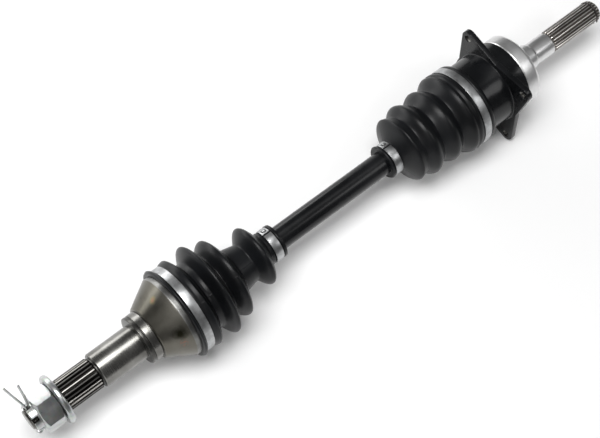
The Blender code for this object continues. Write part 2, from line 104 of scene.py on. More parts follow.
SEGMENTS = 144
NUT_CLOCK = math.radians(28.0)
OUTER_SEAM = math.radians(-25.0)
INNER_SEAM = math.radians(75.0)
SMALL_LATCH = {"clock": math.radians(17.0), "lap": 2.6, "long": 4.2}
LARGE_LATCH = {"clock": math.radians(128.0), "lap": 0.9, "long": 5.5}


# ---------------------------------------------------------------- shapes

def soften(outline, steps=4):
    """Round an outline's corners: a point with a third value has its corner replaced by a small curve."""
    rounded = []
    for index, point in enumerate(outline):
        if len(point) < 3 or index in (0, len(outline) - 1):
            rounded.append((point[0], point[1]))
            continue
        corner = Vector(point[:2])
        before = Vector(outline[index - 1][:2]) - corner
        after = Vector(outline[index + 1][:2]) - corner
        reach = min(point[2], before.length * 0.48, after.length * 0.48)
        start = corner + before.normalized() * reach
        end = corner + after.normalized() * reach
        for step in range(steps + 1):
            part = step / steps
            spot = start * (1 - part) ** 2 + corner * 2 * part * (1 - part) + end * part ** 2
            rounded.append((spot.x, spot.y))
    return rounded


def even_angles(count):
    return [2 * math.pi * index / count for index in range(count)]


def link(name, mesh):
    made = bpy.data.objects.new(name, mesh)
    bpy.context.scene.collection.objects.link(made)
    return made


def from_shape(name, shape):
    """An object made from a finished bmesh."""
    mesh = bpy.data.meshes.new(name)
    shape.to_mesh(mesh)
    shape.free()
    return link(name, mesh)


def skin(name, centre, rows, angles=None, loop=False, sharp=38.0):
    """A surface turned about the axle. A row is (station, radius), where radius may depend on the angle."""
    angles = angles or even_angles(SEGMENTS)
    shape = bmesh.new()
    rings = []
    for station, radius in rows:
        x = (centre + station) * MM
        if not callable(radius) and radius <= 0.0:
            rings.append([shape.verts.new((x, 0.0, 0.0))])
            continue
        ring = []
        for angle in angles:
            reach = (radius(angle) if callable(radius) else radius) * MM
            ring.append(shape.verts.new((x, reach * math.sin(angle), reach * math.cos(angle))))
        rings.append(ring)
    pairs = list(zip(rings, rings[1:]))
    if loop:
        pairs.append((rings[-1], rings[0]))
    count = len(angles)
    for low, high in pairs:
        for index in range(count):
            after = (index + 1) % count
            if len(low) == 1:
                shape.faces.new((low[0], high[after], high[index]))
            elif len(high) == 1:
                shape.faces.new((low[index], low[after], high[0]))
            else:
                shape.faces.new((low[index], low[after], high[after], high[index]))
    bmesh.ops.recalc_face_normals(shape, faces=shape.faces)
    return smooth(from_shape(name, shape), sharp)


def clock(angle):
    """A turn about X that takes +Z towards +Y."""
    return Matrix.Rotation(-angle, 4, "X")


def modify(made, kind, **settings):
    modifier = made.modifiers.new(kind.lower(), kind)
    for key, value in settings.items():
        setattr(modifier, key, value)


def settle(made):
    """Apply every modifier, or turn a curve into a mesh."""
    evaluated = made.evaluated_get(bpy.context.evaluated_depsgraph_get())
    mesh = bpy.data.meshes.new_from_object(evaluated)
    place = made.matrix_world.copy()
    name = made.name
    bpy.data.objects.remove(made, do_unlink=True)
    mesh.transform(place)
    return link(name, mesh)


def carve(made, tool, operation="DIFFERENCE"):
    modify(made, "BOOLEAN", operation=operation, object=tool, solver="EXACT")
    made = settle(made)
    bpy.data.objects.remove(tool, do_unlink=True)
    return made


def smooth(made, angle=35.0):
    made.data.shade_smooth()
    made.data.set_sharp_from_angle(angle=math.radians(angle))
    return made


def round_edges(made, width):
    """Clear out slivers that the cuts left, then round every clear edge."""
    sliver = 0.02 * MM
    shape = bmesh.new()
    shape.from_mesh(made.data)
    bmesh.ops.remove_doubles(shape, verts=shape.verts, dist=sliver)
    bmesh.ops.dissolve_degenerate(shape, dist=sliver, edges=shape.edges)
    shape.to_mesh(made.data)
    shape.free()
    modify(made, "BEVEL", width=width * MM, segments=2, limit_method="ANGLE",
           angle_limit=math.radians(28.0), use_clamp_overlap=True)
    return smooth(settle(made))


def block(name, centre, station, angle, radius, size):
    """A box at a station and an angle round the axle; size is along X, round it and outwards."""
    shape = bmesh.new()
    place = Matrix.Translation(((centre + station) * MM, 0.0, 0.0)) @ clock(angle)
    place = place @ Matrix.Translation((0.0, 0.0, radius * MM))
    place = place @ Matrix.Diagonal((size[0] * MM, size[1] * MM, size[2] * MM, 1.0))
    bmesh.ops.create_cube(shape, size=1.0, matrix=place)
    return from_shape(name, shape)


def peg(name, centre, station, angle, radius, length, sides=48, along_axle=False):
    """A round or many-sided bar centred on the axle's axis, pointing across the axle or along it."""
    shape = bmesh.new()
    place = Matrix.Translation(((centre + station) * MM, 0.0, 0.0)) @ clock(angle)
    if along_axle:
        place = place @ Matrix.Rotation(math.pi / 2, 4, "Y")
    bmesh.ops.create_cone(shape, cap_ends=True, segments=sides, radius1=radius * MM,
                          radius2=radius * MM, depth=length * MM, matrix=place)
    return from_shape(name, shape)


def wire(name, points, thickness, resolution=4):
    """A round wire along points in metres, smoothed between them."""
    path = bpy.data.curves.new(name, "CURVE")
    path.dimensions = "3D"
    path.bevel_depth = thickness * MM
    path.bevel_resolution = resolution
    path.use_fill_caps = True
    path.resolution_u = 6
    spline = path.splines.new("NURBS")
    spline.points.add(len(points) - 1)
    for point, place in zip(spline.points, points):
        point.co = (*place, 1.0)
    spline.use_endpoint_u = True
    spline.order_u = 3
    return smooth(settle(link(name, path)), 60.0)


def join(name, pieces):
    shape = bmesh.new()
    for piece in pieces:
        shape.from_mesh(piece.data)
        bpy.data.objects.remove(piece, do_unlink=True)
    return smooth(from_shape(name, shape))


def wear(made, look, body, node):
    """Give a piece its material and its body, and hide the node it stands for."""
    made.data.materials.clear()
    made.data.materials.append(look)
    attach(made, body)
    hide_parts(node)


# ---------------------------------------------------------------- materials

class Look:
    """A node material while it is built, with short calls for the nodes that the looks share."""

    def __init__(self, name, metallic, roughness, **sockets):
        self.material = bpy.data.materials.new(name)
        self.material.use_nodes = True
        self.tree = self.material.node_tree
        self.shader = self.tree.nodes["Principled BSDF"]
        self.shader.inputs["Metallic"].default_value = metallic
        self.shader.inputs["Roughness"].default_value = roughness
        for key, value in sockets.items():
            self.shader.inputs[key.replace("_", " ")].default_value = value
        self.place = self.tree.nodes.new("ShaderNodeTexCoord").outputs["Object"]
        self.normal = None

    def node(self, kind, inputs=None, **settings):
        made = self.tree.nodes.new(kind)
        for key, value in settings.items():
            setattr(made, key, value)
        for key, value in (inputs or {}).items():
            if isinstance(value, bpy.types.NodeSocket):
                self.tree.links.new(value, made.inputs[key])
            else:
                made.inputs[key].default_value = value
        return made

    def stretched(self, along, across):
        """The object's place, scaled along and across the axle."""
        return self.node("ShaderNodeMapping", {"Vector": self.place, "Scale": (along, across, across)}
                         ).outputs["Vector"]

    def noise(self, scale, detail=4.0, place=None, rough=0.55):
        return self.node("ShaderNodeTexNoise", {"Vector": place or self.place, "Scale": scale,
                                                "Detail": detail, "Roughness": rough}).outputs["Fac"]

    def ramp(self, value, stops):
        made = self.node("ShaderNodeValToRGB", {"Fac": value})
        line = made.color_ramp.elements
        while len(line) < len(stops):
            line.new(0.5)
        for element, (position, colour) in zip(line, stops):
            element.position = position
            tone = (colour,) * 3 if isinstance(colour, float) else colour
            element.color = (*tone, 1.0)
        return made.outputs["Color"]

    def mix(self, share, first, second, blend="MIX"):
        made = self.node("ShaderNodeMix", data_type="RGBA", blend_type=blend)
        for key, value in ((0, share), (6, first), (7, second)):
            if isinstance(value, bpy.types.NodeSocket):
                self.tree.links.new(value, made.inputs[key])
            elif key == 0:
                made.inputs[0].default_value = value
            else:
                made.inputs[key].default_value = (*value, 1.0)
        return made.outputs[2]

    def maths(self, operation, *values):
        made = self.node("ShaderNodeMath", operation=operation)
        for index, value in enumerate(values):
            if isinstance(value, bpy.types.NodeSocket):
                self.tree.links.new(value, made.inputs[index])
            else:
                made.inputs[index].default_value = value
        return made.outputs[0]

    def from_axle(self):
        """Distance from the axle's own axis, in millimetres."""
        parts = self.node("ShaderNodeSeparateXYZ", {"Vector": self.place})
        square = self.maths("ADD", self.maths("POWER", parts.outputs["Y"], 2.0),
                            self.maths("POWER", parts.outputs["Z"], 2.0))
        return self.maths("MULTIPLY", self.maths("SQRT", square), 1000.0)

    def spot(self, centre, radius):
        """1 at a place on the surface, fading to 0 at a distance in metres, with a ragged edge."""
        ragged = self.noise(170.0, 3.0)
        gap = self.node("ShaderNodeVectorMath", {0: self.place, 1: centre}, operation="DISTANCE")
        reach = self.maths("ADD", gap.outputs["Value"], self.maths("MULTIPLY", ragged, radius * 1.1))
        return self.maths("SUBTRACT", 1.0, self.maths("DIVIDE", reach, radius * 1.6))

    def bump(self, height, strength, distance):
        settings = {"Height": height, "Strength": strength, "Distance": distance * MM}
        if self.normal:
            settings["Normal"] = self.normal
        self.normal = self.node("ShaderNodeBump", settings).outputs["Normal"]

    def set(self, key, value):
        self.tree.links.new(value, self.shader.inputs[key])

    def done(self):
        if self.normal:
            self.set("Normal", self.normal)
        return self.material


def polar(station, radius, degrees):
    """A place on a surface round the axle: station along X and radius in millimetres."""
    angle = math.radians(degrees)
    return (station * MM, radius * MM * math.sin(angle), radius * MM * math.cos(angle))


def turned_steel(name, light, dark, roughness, rings=0.25):
    """Steel with fine tool marks round it, soft stains and uneven gloss."""
    look = Look(name, 1.0, roughness)
    stain = look.noise(38.0, 5.0)
    marks = look.noise(1.0, 3.0, look.stretched(2600.0, 14.0))
    colour = look.mix(look.ramp(stain, [(0.34, 0.0), (0.68, 1.0)]), dark, light)
    colour = look.mix(look.maths("MULTIPLY", marks, 0.35), colour, tuple(part * 0.72 for part in dark))
    look.set("Base Color", colour)
    gloss = look.maths("ADD", look.maths("MULTIPLY", stain, 0.22), look.maths("MULTIPLY", marks, 0.10))
    look.set("Roughness", look.maths("ADD", gloss, roughness - 0.15))
    look.bump(marks, rings, 0.05)
    look.bump(look.noise(420.0, 2.0), 0.08, 0.05)
    return look.done()


def forged_steel():
    """The bell's cone: brownish forged steel under a film of oil, with a rust spot and an oil stain."""
    look = Look("forged_steel", 1.0, 0.3)
    cloud = look.noise(30.0, 6.0)
    grain = look.noise(900.0, 3.0)
    colour = look.mix(look.ramp(cloud, [(0.3, 0.0), (0.7, 1.0)]), (0.085, 0.081, 0.066), (0.18, 0.172, 0.15))
    colour = look.mix(look.maths("MULTIPLY", grain, 0.3), colour, (0.08, 0.075, 0.06))
    rust = look.spot(polar(OUTER - 17.0, 34.0, 20.0), 3.8 * MM)
    oil = look.spot(polar(OUTER - 15.5, 34.5, -44.0), 7.4 * MM)
    graze = look.spot(polar(OUTER - 15.0, 34.5, -62.0), 5.0 * MM)
    scratches = look.ramp(look.noise(520.0, 2.0), [(0.52, 0.0), (0.60, 1.0)])
    colour = look.mix(look.ramp(rust, [(0.0, 0.0), (0.3, 0.5)]), colour, (0.20, 0.17, 0.06))
    colour = look.mix(look.ramp(rust, [(0.25, 0.0), (0.6, 0.75)]), colour, (0.26, 0.11, 0.075))
    colour = look.mix(look.ramp(oil, [(0.02, 0.0), (0.5, 0.93)]), colour, (0.016, 0.016, 0.006))
    graze = look.maths("MULTIPLY", look.ramp(graze, [(0.0, 0.0), (0.4, 0.8)]), scratches)
    colour = look.mix(graze, colour, (0.24, 0.12, 0.09))
    look.set("Base Color", colour)
    look.set("Roughness", look.maths("ADD", look.maths("MULTIPLY", cloud, 0.22), 0.2))
    look.set("Metallic", look.maths("SUBTRACT", 1.0, look.ramp(rust, [(0.02, 0.0), (0.5, 0.7)])))
    look.bump(cloud, 0.25, 0.25)
    look.bump(grain, 0.2, 0.06)
    return look.done()


def splined_steel(name, root, crest, painted_crest_highlight, dark):
    """Painted highlight on the tooth tops and painted shade in the dark, warm gaps, told apart by their
    distance from the axis in millimetres.
    """
    look = Look(name, 1.0, 0.3)
    height = look.node("ShaderNodeMapRange", {"Value": look.from_axle(), "From Min": root,
                                              "From Max": crest})
    streak = look.noise(1.0, 3.0, look.stretched(60.0, 1400.0))
    # Colour by height: painted shade in the gaps, rising to a painted highlight on the tooth tops; the dark
    # tone also colours the streaks.
    colour = look.ramp(height.outputs["Result"], [(0.0, dark), (0.55, tuple(part * 1.9 for part in dark)),
                                                  (0.95, painted_crest_highlight)])
    colour = look.mix(look.maths("MULTIPLY", streak, 0.3), colour, dark)
    look.set("Base Color", colour)
    look.set("Roughness", look.maths("ADD", look.maths("MULTIPLY", streak, 0.25), 0.17))
    look.bump(streak, 0.2, 0.05)
    return look.done()


def zinc_plate():
    """Bright plated steel with a faint cloudy spangle and small dull marks."""
    look = Look("zinc_plate", 1.0, 0.3)
    cloud = look.noise(90.0, 5.0)
    flakes = look.node("ShaderNodeTexVoronoi", {"Vector": look.place, "Scale": 420.0}).outputs["Color"]
    colour = look.mix(look.ramp(cloud, [(0.35, 0.0), (0.7, 1.0)]), (0.36, 0.375, 0.37), (0.54, 0.55, 0.55))
    colour = look.mix(0.10, colour, flakes, "SOFT_LIGHT")
    look.set("Base Color", colour)
    look.set("Roughness", look.maths("ADD", look.maths("MULTIPLY", cloud, 0.22), 0.2))
    look.bump(cloud, 0.12, 0.08)
    return look.done()


def clamp_steel():
    """Satin stainless band, brushed round the clamp."""
    look = Look("clamp_steel", 1.0, 0.36)
    brushed = look.noise(1.0, 4.0, look.stretched(5200.0, 42.0))
    cloud = look.noise(150.0, 3.0)
    colour = look.mix(brushed, (0.34, 0.345, 0.35), (0.54, 0.55, 0.555))
    dull = look.maths("MULTIPLY", look.ramp(cloud, [(0.42, 0.0), (0.62, 1.0)]), 0.5)
    look.set("Base Color", look.mix(dull, colour, (0.20, 0.20, 0.20)))
    look.set("Roughness", look.maths("ADD", look.maths("MULTIPLY", brushed, 0.16), 0.27))
    look.bump(brushed, 0.15, 0.03)
    return look.done()


def boot_rubber():
    """Moulded rubber: near black, satin, with a slight grey bloom and a fine moulded grain."""
    look = Look("boot_rubber", 0.0, 0.33, Specular_IOR_Level=0.22)
    bloom = look.noise(26.0, 6.0)
    grain = look.noise(1500.0, 2.0)
    colour = look.mix(look.ramp(bloom, [(0.4, 0.0), (0.75, 1.0)]), (0.0035, 0.0038, 0.0044),
                      (0.0080, 0.0087, 0.0100))
    look.set("Base Color", colour)
    look.set("Roughness", look.maths("ADD", look.maths("MULTIPLY", bloom, 0.2), 0.24))
    look.bump(look.noise(70.0, 3.0), 0.10, 0.35)
    look.bump(grain, 0.18, 0.02)
    return look.done()


def black_paint(name, roughness, peel):
    """Gloss black paint with orange peel, a little dust and slightly worn gloss."""
    look = Look(name, 0.0, roughness, Coat_Weight=0.08, Coat_Roughness=0.08, Specular_IOR_Level=0.26)
    cloud = look.noise(34.0, 5.0)
    dust = look.ramp(look.noise(700.0, 2.0), [(0.62, 0.0), (0.80, 1.0)])
    shade = look.ramp(cloud, [(0.4, 0.0), (0.7, 1.0)])
    colour = look.mix(shade, (0.0030, 0.0034, 0.0040), (0.0075, 0.0080, 0.0090))
    look.set("Base Color", look.mix(look.maths("MULTIPLY", dust, 0.10), colour, (0.08, 0.08, 0.08)))
    look.set("Roughness", look.maths("ADD", look.maths("MULTIPLY", cloud, 0.2), roughness - 0.08))
    look.bump(look.noise(210.0, 3.0), peel, 0.12)
    return look.done()


def dark_spring():
    look = Look("dark_spring", 1.0, 0.42)
    cloud = look.noise(300.0, 3.0)
    look.set("Base Color", look.mix(cloud, (0.035, 0.035, 0.04), (0.11, 0.10, 0.095)))
    look.bump(cloud, 0.15, 0.03)
    return look.done()


def greased_steel():
    """Ground bearing steel under a thin amber film of grease."""
    look = Look("greased_steel", 1.0, 0.18, Coat_Weight=0.5, Coat_Roughness=0.3)
    film = look.noise(120.0, 4.0)
    look.set("Base Color", look.mix(look.ramp(film, [(0.35, 0.0), (0.7, 1.0)]), (0.58, 0.58, 0.59),
                                    (0.40, 0.33, 0.22)))
    look.bump(film, 0.1, 0.1)
    return look.done()


STEEL = turned_steel("machined_steel", (0.30, 0.296, 0.28), (0.12, 0.117, 0.108), 0.24)
# Darker steel: oxide on the collar ring, and painted shade on the relief step between journal and spline.
OXIDE_AND_SHADE = turned_steel("oxide_and_shade_steel", (0.13, 0.128, 0.12), (0.055, 0.054, 0.05), 0.3)
SCRAPED = turned_steel("scraped_steel", (0.40, 0.40, 0.39), (0.10, 0.10, 0.095), 0.34)
SATIN = turned_steel("satin_steel", (0.86, 0.86, 0.86), (0.68, 0.68, 0.68), 0.35, 0.15)
FORGED = forged_steel()
# The spline looks carry a painted highlight on the tooth tops and painted shade in the gaps.
HUB_SPLINE = splined_steel("hub_spline_steel", 13.3, 14.7, (0.30, 0.293, 0.278), (0.012, 0.011, 0.010))
STUB_SPLINE = splined_steel("stub_spline_steel", 10.0, 11.15, (0.92, 0.90, 0.875), (0.15, 0.136, 0.122))
ZINC = zinc_plate()
BAND = clamp_steel()
RUBBER = boot_rubber()
PAINT = black_paint("black_paint", 0.24, 0.10)
CUP_PAINT = black_paint("cup_paint", 0.2, 0.16)
SPRING = dark_spring()
BEARING = greased_steel()


# ---------------------------------------------------------------- wheel end

BELL_PITCH = 26.5
BELL_GROOVE = 9.1
BELL_SPHERE = 29.7
HUB_TEETH = 24
STUB_END = -155.0
STUB_TIP = 8.7
THREAD_START = -154.9
THREAD_RADIUS = 10.0
THREAD_DEPTH = 0.92
THREAD_PITCH = 1.5
PIN_STATION = -150.1


def teeth(count, crest, root):
    """Radius of a spline's section: narrow tooth tops and gap floors joined by sloping flanks."""
    def radius(angle):
        part = abs((angle * count / (2 * math.pi)) % 1.0 - 0.5) * 2
        return root + (crest - root) * min(1.0, max(0.0, (0.66 - part) / 0.42))
    return radius


def groove_reach(station, angle):
    """Radius of the bell's inside: the sphere, or a ball groove where that goes deeper."""
    sixth = math.pi / 3
    off = (angle + sixth / 2) % sixth - sixth / 2
    sphere = math.sqrt(max(BELL_SPHERE ** 2 - station ** 2, 1.0))
    reach = BELL_PITCH
    for _ in range(8):
        side = reach * math.sin(off)
        if abs(side) >= BELL_GROOVE:
            return sphere
        in_plane = BELL_PITCH + math.sqrt(BELL_GROOVE ** 2 - side ** 2)
        if abs(station) >= in_plane:
            return sphere
        reach = math.sqrt(in_plane ** 2 - station ** 2) / math.cos(off)
    return max(sphere, reach)


def thread(station):
    """Radius of the stub's thread at a station, inside the chamfer at its end."""
    def radius(angle):
        part = (station / THREAD_PITCH + angle / (2 * math.pi)) % 1.0
        depth = THREAD_DEPTH * abs(part * 2 - 1)
        chamfer = max(0.0, station - STUB_END) * 0.9 + STUB_TIP
        return min(THREAD_RADIUS - depth, chamfer)
    return radius


def bell_pieces():
    """The bell and its stub are one forging, made here as eight surfaces with looks of their own."""
    floor = -24.0
    depth = 34.4
    steps = 17
    inside = [(floor, 0.0)]
    for step in range(steps + 1):
        station = floor + depth * step / steps
        inside.append((station, lambda angle, at=station: groove_reach(at, angle)))
    rim = [(11.0, lambda angle: max(29.2, groove_reach(11.0, angle) + 0.3)), (11.0, 38.6), (10.2, 39.4)]
    band = soften([(10.2, 39.4), (-7.0, 39.4, 1.2), (-10.0, 37.6)])[1:-1]
    cone = soften([(-9.0, 38.2), (-30.6, 25.5, 1.0), (-30.9, 22.9), (-30.9, 0.0)])
    shell = skin("bell", OUTER, inside + rim + band + cone, even_angles(180))
    collar = skin("bell_collar", OUTER, soften([
        (-30.5, 0.0), (-30.5, 22.6), (-30.9, 22.9), (-31.2, 23.1, 0.3), (-38.0, 23.1, 0.4), (-38.2, 22.0),
        (-38.2, 0.0)]))
    ring = skin("bell_collar_ring", OUTER, soften([
        (-37.9, 0.0), (-37.9, 22.0), (-38.1, 22.2), (-38.9, 22.2, 0.2), (-39.1, 23.1, 0.4),
        (-42.1, 23.1, 0.8), (-42.1, 16.6, 0.5), (-43.0, 16.5), (-43.0, 0.0)]))
    journal = skin("bell_journal", OUTER, soften([
        (-42.0, 0.0), (-42.0, 16.6), (-60.0, 16.6), (-84.5, 16.6, 0.7), (-85.2, 15.9), (-85.2, 0.0)]))
    # The relief step is given the darker steel as painted shade.
    relief = skin("bell_relief", OUTER, [(-85.1, 0.0), (-85.1, 15.95), (-85.5, 15.6), (-85.6, 13.2),
                                         (-86.8, 12.8), (-86.8, 0.0)])
    tooth = teeth(HUB_TEETH, 14.7, 13.2)
    low = teeth(HUB_TEETH, 13.7, 13.2)
    run_out = teeth(HUB_TEETH, 14.7, 13.6)
    spline = skin("hub_spline", OUTER, [
        (-121.9, 0.0), (-121.9, low), (-120.9, tooth), (-110.0, tooth), (-99.0, tooth), (-90.0, tooth),
        (-88.2, run_out), (-87.2, low), (-86.5, 13.5), (-86.5, 0.0)], even_angles(288), sharp=25.0)
    turns = [(STUB_END, 0.0), (STUB_END, STUB_TIP)]
    for step in range(48):
        station = THREAD_START + THREAD_PITCH / 8 * step
        turns.append((station, thread(station)))
    turns += [(-145.8, 9.2), (-122.4, 9.2), (-122.4, 9.9), (-121.8, 9.9), (-121.8, 0.0)]
    stub = skin("hub_thread", OUTER, turns, even_angles(96), sharp=50.0)
    stub = smooth(carve(stub, peg("pin_hole", OUTER, PIN_STATION, NUT_CLOCK, 2.5, 30.0)), 50.0)
    lip = skin("bell_rim_band", OUTER, soften([
        (-7.6, 38.7), (-7.4, 39.3), (-6.6, 39.56, 0.5), (-2.6, 39.56), (-2.4, 38.9)]), loop=True)
    for made, look in ((shell, FORGED), (collar, STEEL), (ring, OXIDE_AND_SHADE), (journal, STEEL), (relief, OXIDE_AND_SHADE),
                       (spline, HUB_SPLINE), (stub, STEEL), (lip, SCRAPED)):
        wear(made, look, "outer_hub", "outer_joint_housing")


def castle_nut():
    """A hexagon with turned corners, a slotted crown and a bored middle."""
    face = -128.2
    hex_end = -146.8
    crown_end = -153.4
    corner = 18.0 / math.cos(math.pi / 6)
    made = peg("castle_nut_body", OUTER, (face + hex_end) / 2, NUT_CLOCK, corner, face - hex_end, 6, True)
    turn = even_angles(120)
    envelope = skin("nut_envelope", OUTER, soften([
        (hex_end, 0.0), (hex_end, 16.9), (hex_end + 2.0, 20.3, 1.2), (hex_end + 3.6, 21.6),
        (face - 4.2, 21.6), (face - 2.4, 20.6, 1.0), (face, 17.6), (face, 0.0)]), turn)
    made = carve(made, envelope, "INTERSECT")
    crown = skin("nut_crown", OUTER, soften([
        (hex_end + 4.0, 0.0), (hex_end + 4.0, 13.0), (crown_end, 13.0, 0.9), (crown_end, 0.0)]), turn)
    made = carve(made, crown, "UNION")
    bore = skin("nut_bore", OUTER, [
        (face + 1.0, 0.0), (face + 1.0, 11.6), (face - 1.2, 10.3), (crown_end + 0.8, 10.3),
        (crown_end - 0.2, 11.2), (crown_end - 1.0, 11.2), (crown_end - 1.0, 0.0)], turn)
    made = carve(made, bore)
    for index in range(6):
        angle = NUT_CLOCK + index * math.pi / 3
        slot = block("nut_slot", OUTER, crown_end + 1.9, angle, 12.5, (7.4, 4.8, 7.0))
        modify(slot, "BEVEL", width=1.2 * MM, segments=4, limit_method="NONE")
        made = carve(made, settle(slot))
    made.name = "castle_nut_plated"
    made = round_edges(made, 0.28)
    wear(made, ZINC, "outer_hub", "castle_nut")


def washer():
    start = -127.9
    end = -122.3
    made = skin("hub_washer_plated", OUTER, soften([
        (end, 10.4), (end, 12.0), (end, 23.7, 2.4), (start, 23.7, 2.4), (start, 12.0),
        (start, 10.4)]), loop=True)
    wear(made, ZINC, "outer_hub", "hub_washer")


def cotter_pin():
    """One folded wire: a round head below the nut, two legs through the crown, bent apart above it."""
    station = PIN_STATION
    half = 1.12
    head = [(station - half, -9.0), (station - half, -13.6), (station - 2.0, -16.2), (station - 2.1, -18.6),
            (station, -20.3), (station + 2.1, -18.6), (station + 2.0, -16.2), (station + half, -13.6),
            (station + half, -9.0)]
    long_leg = [(-159.95, 47.6), (-158.0, 39.5), (-155.5, 30.0), (-153.2, 21.5), (-151.9, 16.4),
                (station - half, 12.4), (station - half, 6.0)]
    short_leg = [(station + half, 6.0), (station + half, 12.4), (-148.7, 17.0), (-148.2, 24.0),
                 (-148.2, 32.0), (-148.5, 41.2)]
    turn = clock(NUT_CLOCK)
    points = [turn @ Vector(((OUTER + x) * MM, 0.0, z * MM)) for x, z in long_leg + head + short_leg]
    made = wire("cotter_pin_wire", points, 1.03)
    wear(made, ZINC, "outer_hub", "cotter_pin")


# ---------------------------------------------------------------- boots and clamps

def seamed_angles(count, seam):
    """Even angles, with close ones beside the two moulding seams."""
    angles = even_angles(count)
    for side in (0.0, math.pi):
        for offset in (-1.3, -0.8, -0.4, 0.0, 0.4, 0.8, 1.3):
            angles.append((seam + side + math.radians(offset)) % (2 * math.pi))
    return sorted(set(round(angle, 5) for angle in angles))


def seam_height(angle, seam):
    """Height of the thin moulding seams, one on each side of a boot."""
    height = 0.0
    for side in (0.0, math.pi):
        off = (angle - seam - side + math.pi) % (2 * math.pi) - math.pi
        height += 0.16 * math.exp(-((off / math.radians(0.5)) ** 2))
    return height


def fold_rows(crests):
    """A boot's outline between its crests and valleys: crests are broad and valleys tight."""
    spacing = 0.75
    tall_fold = 3.5
    rows = []
    for (start, low), (end, high) in zip(crests, crests[1:]):
        count = max(2, round(max(abs(end - start), abs(high - low)) / spacing))
        for index in range(count):
            part = index / count
            even = (1 - math.cos(math.pi * part)) / 2
            tight = 1 - math.cos(math.pi * part / 2) if low > high else math.sin(math.pi * part / 2)
            swing = (even + tight) / 2 if abs(high - low) > tall_fold else part
            rows.append((start + (end - start) * part, low + (high - low) * swing))
    rows.append(crests[-1])
    return rows


def boot(name, centre, crests, bore, cuts, seam):
    """A ribbed boot in slices; a slice on one body follows it, and a slice between two bodies stays fixed
    where it is.
    """
    outside = fold_rows(crests)
    stations = [station for _, station, _ in cuts[1:]]
    for station in stations:
        if not any(abs(station - row[0]) < 0.01 for row in outside):
            for (low, first), (high, second) in zip(outside, outside[1:]):
                if low < station < high:
                    share = (station - low) / (high - low)
                    outside.append((station, first + (second - first) * share))
                    break
    outside.sort()
    inside = [(station, bore(station, radius)) for station, radius in outside]
    angles = seamed_angles(SEGMENTS, seam)
    grid = []
    for rows, lift in ((outside, 1.0), (inside, 0.0)):
        level = []
        for station, radius in rows:
            ring = []
            for angle in angles:
                reach = (radius + lift * seam_height(angle, seam)) * MM
                ring.append(Vector(((centre + station) * MM, reach * math.sin(angle),
                                    reach * math.cos(angle))))
            level.append(ring)
        grid.append(level)
    slopes = [surface_normals(level, sign) for level, sign in zip(grid, (1.0, -1.0))]
    edges = [outside[0][0]] + stations + [outside[-1][0]]
    count = len(angles)
    for index, (label, _, bodies) in enumerate(cuts):
        first = next(i for i, row in enumerate(outside) if abs(row[0] - edges[index]) < 0.01)
        last = next(i for i, row in enumerate(outside) if abs(row[0] - edges[index + 1]) < 0.01)
        slice_rings(f"{name}_{label}", grid, slopes, first, last, count,
                    bodies, name)


def surface_normals(level, sign):
    """The smooth surface's own normals, so that slices shade as one piece."""
    normals = []
    rows = len(level)
    count = len(level[0])
    for index, ring in enumerate(level):
        before = level[max(index - 1, 0)]
        after = level[min(index + 1, rows - 1)]
        line = []
        for spot in range(count):
            along = after[spot] - before[spot]
            round_it = ring[(spot + 1) % count] - ring[spot - 1]
            normal = round_it.cross(along).normalized()
            outward = Vector((0.0, ring[spot].y, ring[spot].z))
            if normal.dot(outward) < 0.0:
                normal.negate()
            line.append(normal * sign)
        normals.append(line)
    return normals


def slice_rings(name, grid, slopes, first, last, count, bodies, node):
    """One slice of a boot: its outside, its inside and a flat ring at each end."""
    mesh = bpy.data.meshes.new(name)
    rows = last - first + 1
    points = []
    normals = []
    for level, slope in zip(grid, slopes):
        for index in range(first, last + 1):
            points += level[index]
            normals += slope[index]
    faces = []
    inner = rows * count

    def quad(low, high, flip):
        for spot in range(count):
            after = (spot + 1) % count
            face = (low + spot, low + after, high + after, high + spot)
            faces.append(face[::-1] if flip else face)

    for index in range(rows - 1):
        quad(index * count, (index + 1) * count, True)
        quad(inner + index * count, inner + (index + 1) * count, False)
    smooth_faces = len(faces)
    quad(0, inner, False)
    quad((rows - 1) * count, inner + (rows - 1) * count, True)
    mesh.from_pydata(points, [], faces)
    mesh.update()
    for polygon in mesh.polygons:
        polygon.use_smooth = polygon.index < smooth_faces
    custom = [None] * len(mesh.loops)
    for polygon in mesh.polygons:
        for loop in polygon.loop_indices:
            vertex = mesh.loops[loop].vertex_index
            custom[loop] = normals[vertex] if polygon.index < smooth_faces else polygon.normal
    mesh.normals_split_custom_set(custom)
    made = link(name, mesh)
    mesh.materials.append(RUBBER)
    if len(bodies) == 1:
        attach(made, bodies[0])
    else:
        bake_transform(made)
    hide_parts(node)


def band_section(radius, thick, half):
    """A band's rounded rectangular section, as (across, radius) pairs round it."""
    edge = min(thick * 0.45, 0.35)
    return soften([(0.0, radius), (half, radius, edge), (half, radius + thick, edge),
                   (-half, radius + thick, edge), (-half, radius, edge), (0.0, radius)], 3)


def strap(name, centre, station, radius, thick, half, start, sweep, lift=None, steps=150):
    """A length of band bent round the axle from one angle through a sweep; lift raises it along the way."""
    section = band_section(radius, thick, half)[:-1]
    shape = bmesh.new()
    rings = []
    for step in range(steps + 1):
        part = step / steps
        angle = start + sweep * part
        rise = lift(part) if lift else 0.0
        ring = []
        for across, reach in section:
            out = (reach + rise) * MM
            ring.append(shape.verts.new(((centre + station + across) * MM, out * math.sin(angle),
                                         out * math.cos(angle))))
        rings.append(ring)
    count = len(section)
    for low, high in zip(rings, rings[1:]):
        for spot in range(count):
            after = (spot + 1) % count
            shape.faces.new((low[spot], low[after], high[after], high[spot]))
    shape.faces.new(rings[0])
    shape.faces.new(rings[-1])
    bmesh.ops.recalc_face_normals(shape, faces=shape.faces)
    return smooth(from_shape(name, shape))


